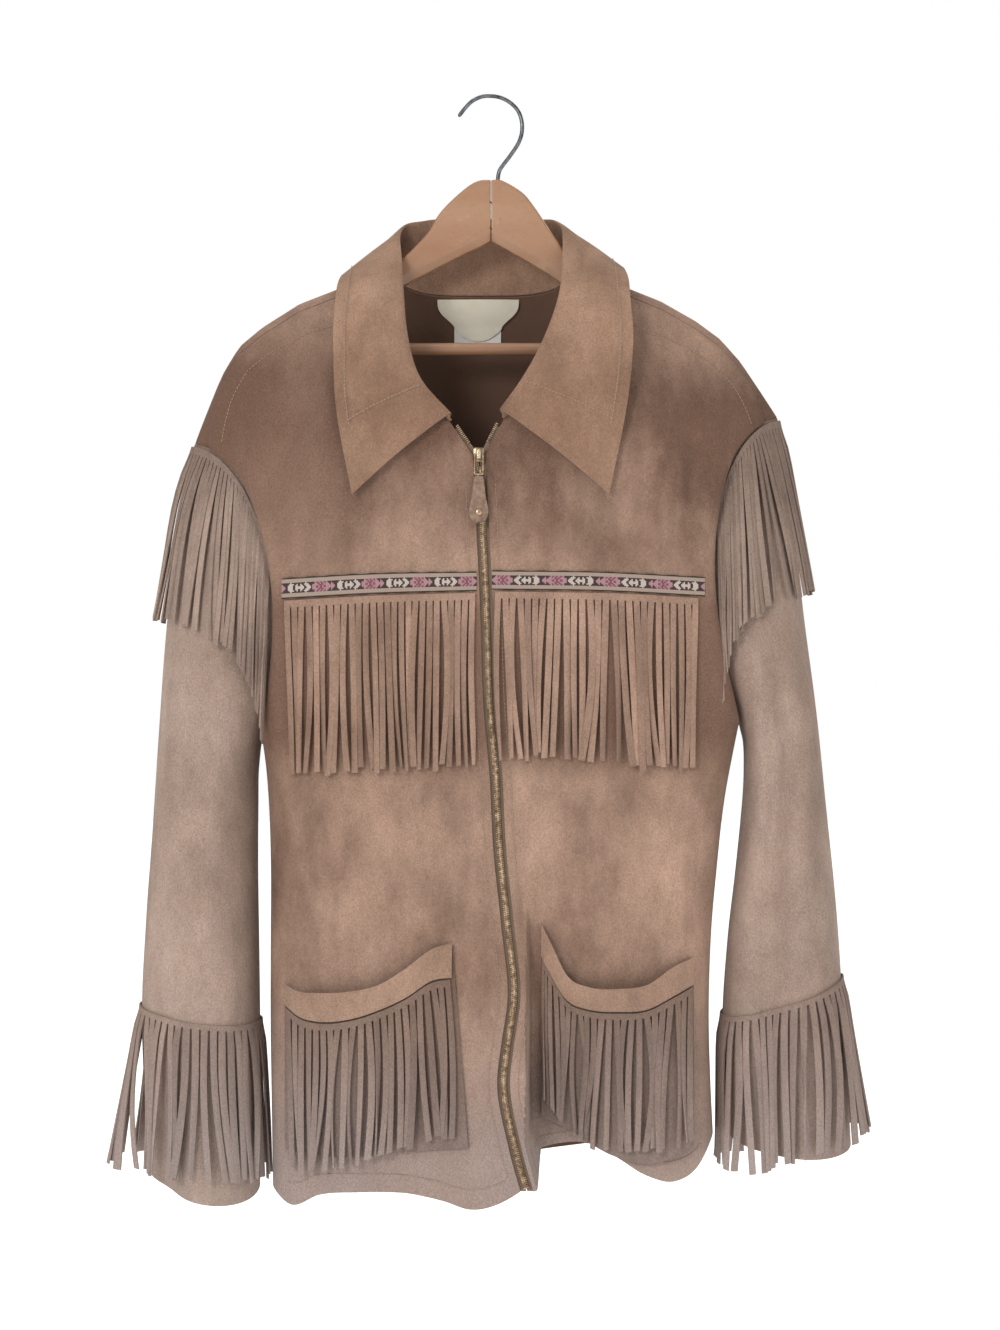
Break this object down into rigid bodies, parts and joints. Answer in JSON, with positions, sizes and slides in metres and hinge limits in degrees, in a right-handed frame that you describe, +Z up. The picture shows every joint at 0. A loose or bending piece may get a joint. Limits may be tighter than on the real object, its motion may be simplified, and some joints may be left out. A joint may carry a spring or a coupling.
{
  "type": "fringed suede jacket on a wooden hanger",
  "caption": "Tan suede zip jacket with wide collar, woven ribbon, and fringe on chest, armholes, pockets and cuffs, hung on a wooden hanger with a wire hook",
  "frame": {"origin": "the inside top of the hanger hook's arc, where it hangs on a rail", "axes": "+Z up along the hang, +X to the viewer's right across the shoulders, +Y from the zip side to the back"},
  "size_m": [0.6019, 0.1558, 0.8804],
  "materials": {
    "suede": "napped matt suede",
    "suede_fringe": "cut suede strands",
    "ribbon": "woven jacquard",
    "zip_tape": "woven tape",
    "brass": "antique, worn",
    "pull_leather": "smooth worn leather",
    "label": "woven satin",
    "care_label": "printed tape, plain",
    "wood": "lacquered beech",
    "wire": "dark steel wire"
  },
  "bodies": {
    "jacket": {"armhole_fringe_left": "suede_fringe", "armhole_fringe_right": "suede_fringe", "back": "suede", "care_label": "care_label", "chest_fringe_left": "suede_fringe", "chest_fringe_right": "suede_fringe", "collar": "suede", "cuff_fringe_left": "suede_fringe", "cuff_fringe_right": "suede_fringe", "front_left": "suede", "front_right": "suede", "hanger_bar": "wood", "hanger_left": "wood", "hanger_right": "wood", "hook": "wire", "label": "label", "pocket_band_left": "suede", "pocket_band_right": "suede", "pocket_fringe_left": "suede_fringe", "pocket_fringe_right": "suede_fringe", "pocket_left": "suede", "pocket_right": "suede", "ribbon_left": "ribbon", "ribbon_right": "ribbon", "sleeve_left": "suede", "sleeve_right": "suede", "zip_bridge": "brass", "zip_chain": "brass", "zip_row_left": "brass", "zip_row_right": "brass", "zip_slider": "brass", "zip_tape_left": "zip_tape", "zip_tape_right": "zip_tape"},
    "zip_pull": {"pull_link": "brass", "pull_rivet": "brass", "pull_tab": "pull_leather"}
  },
  "joints": [
    {"name": "pull_swing", "type": "hinge", "parent": "jacket", "child": "zip_pull", "pos_m": [-0.0093, -0.0714, -0.29], "axis": [-1, 0, 0], "range_deg": [0, 150]}
  ]
}
